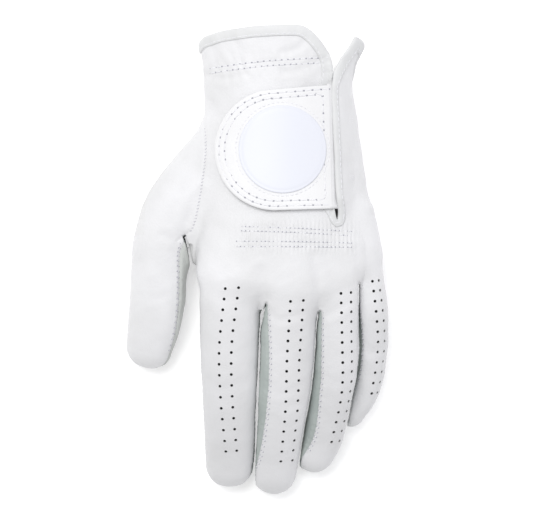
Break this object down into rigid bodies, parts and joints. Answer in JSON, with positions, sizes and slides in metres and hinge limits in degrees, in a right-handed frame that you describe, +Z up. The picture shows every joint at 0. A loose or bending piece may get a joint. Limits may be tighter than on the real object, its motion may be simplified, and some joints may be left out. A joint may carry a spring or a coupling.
{
  "type": "golf glove",
  "caption": "Left-hand golf glove lying palm down and filled out: sewn leather fingers that bend, perforated backs, bound cuff with a slit and a round peel-open wrist tab.",
  "frame": {"origin": "centre of the bounding box's footprint, on the surface that the palm rests on", "axes": "+Z up, from the palm to the back of the hand; +Y from the fingertips to the cuff; +X from the thumb to the little finger"},
  "size_m": [0.125, 0.2249, 0.0428],
  "materials": {
    "back_leather": "soft white cabretta leather, fine grain",
    "palm_leather": "soft white cabretta leather, fine grain",
    "side_strip_leather": "thin white leather, slightly greyer",
    "binding_tape": "folded white tape, sewn",
    "elastic_tape": "white woven elastic",
    "loop_pile": "white loop pile",
    "hook_tape": "white hook tape",
    "tab_microfibre": "smooth white synthetic leather",
    "medallion": "smooth cool-white synthetic leather, sewn on"
  },
  "bodies": {
    "hand": {"back_of_hand": "back_leather", "cuff_binding": "binding_tape", "knuckle_elastic_lower": "elastic_tape", "knuckle_elastic_upper": "elastic_tape", "loop_patch": "loop_pile", "palm": "palm_leather", "slit_binding_little_side": "binding_tape", "slit_binding_thumb_side": "binding_tape", "tab_root": "tab_microfibre", "thumb_root_back": "back_leather", "thumb_root_palm": "palm_leather", "wrist_elastic": "elastic_tape"},
    "tab": {"closure_tab": "tab_microfibre", "hook_patch": "hook_tape", "tab_medallion": "medallion"},
    "thumb_lower": {"thumb_back_lower": "back_leather", "thumb_fourchette_little_side_lower": "side_strip_leather", "thumb_palm_lower": "palm_leather"},
    "thumb_upper": {"thumb_back_upper": "back_leather", "thumb_fourchette_little_side_upper": "side_strip_leather", "thumb_palm_upper": "palm_leather"},
    "index_lower": {"index_back_lower": "back_leather", "index_fourchette_little_side_lower": "side_strip_leather", "index_palm_lower": "palm_leather"},
    "index_upper": {"index_back_upper": "back_leather", "index_fourchette_little_side_upper": "side_strip_leather", "index_palm_upper": "palm_leather"},
    "middle_lower": {"middle_back_lower": "back_leather", "middle_fourchette_little_side_lower": "side_strip_leather", "middle_fourchette_thumb_side_lower": "side_strip_leather", "middle_palm_lower": "palm_leather"},
    "middle_upper": {"middle_back_upper": "back_leather", "middle_fourchette_little_side_upper": "side_strip_leather", "middle_fourchette_thumb_side_upper": "side_strip_leather", "middle_palm_upper": "palm_leather"},
    "ring_lower": {"ring_back_lower": "back_leather", "ring_fourchette_little_side_lower": "side_strip_leather", "ring_fourchette_thumb_side_lower": "side_strip_leather", "ring_palm_lower": "palm_leather"},
    "ring_upper": {"ring_back_upper": "back_leather", "ring_fourchette_little_side_upper": "side_strip_leather", "ring_fourchette_thumb_side_upper": "side_strip_leather", "ring_palm_upper": "palm_leather"},
    "little_lower": {"little_back_lower": "back_leather", "little_fourchette_thumb_side_lower": "side_strip_leather", "little_palm_lower": "palm_leather"},
    "little_upper": {"little_back_upper": "back_leather", "little_fourchette_thumb_side_upper": "side_strip_leather", "little_palm_upper": "palm_leather"}
  },
  "joints": [
    {"name": "tab_peel", "type": "hinge", "parent": "hand", "child": "tab", "pos_m": [0.035, 0.0548, 0.03686], "axis": [-0.0262, 0.997, -0.0728], "range_deg": [0, 150]},
    {"name": "thumb_base", "type": "hinge", "parent": "hand", "child": "thumb_lower", "pos_m": [-0.0472, 0.0065, 0.00571], "axis": [1, 0, 0], "range_deg": [-8, 40]},
    {"name": "thumb_middle", "type": "hinge", "parent": "thumb_lower", "child": "thumb_upper", "pos_m": [-0.0489, -0.01753, 0.00438], "axis": [1, 0, 0], "range_deg": [-8, 60]},
    {"name": "index_base", "type": "hinge", "parent": "hand", "child": "index_lower", "pos_m": [-0.0143, -0.025, 0.018], "axis": [1, 0, 0], "range_deg": [-8, 65]},
    {"name": "index_middle", "type": "hinge", "parent": "index_lower", "child": "index_upper", "pos_m": [-0.0146, -0.05984, 0.01563], "axis": [1, 0, 0], "range_deg": [-12, 75]},
    {"name": "middle_base", "type": "hinge", "parent": "hand", "child": "middle_lower", "pos_m": [0.0139, -0.027, 0.0184], "axis": [1, 0, 0], "range_deg": [-8, 65]},
    {"name": "middle_middle", "type": "hinge", "parent": "middle_lower", "child": "middle_upper", "pos_m": [0.0134, -0.06186, 0.01613], "axis": [1, 0, 0], "range_deg": [-12, 75]},
    {"name": "ring_base", "type": "hinge", "parent": "hand", "child": "ring_lower", "pos_m": [0.0373, -0.027, 0.01588], "axis": [1, 0, 0], "range_deg": [-8, 65]},
    {"name": "ring_middle", "type": "hinge", "parent": "ring_lower", "child": "ring_upper", "pos_m": [0.0373, -0.05795, 0.01309], "axis": [1, 0, 0], "range_deg": [-12, 75]},
    {"name": "little_base", "type": "hinge", "parent": "hand", "child": "little_lower", "pos_m": [0.0557, -0.015, 0.01099], "axis": [1, 0, 0], "range_deg": [-8, 65]},
    {"name": "little_middle", "type": "hinge", "parent": "little_lower", "child": "little_upper", "pos_m": [0.0559, -0.04446, 0.00702], "axis": [1, 0, 0], "range_deg": [-12, 75]}
  ]
}
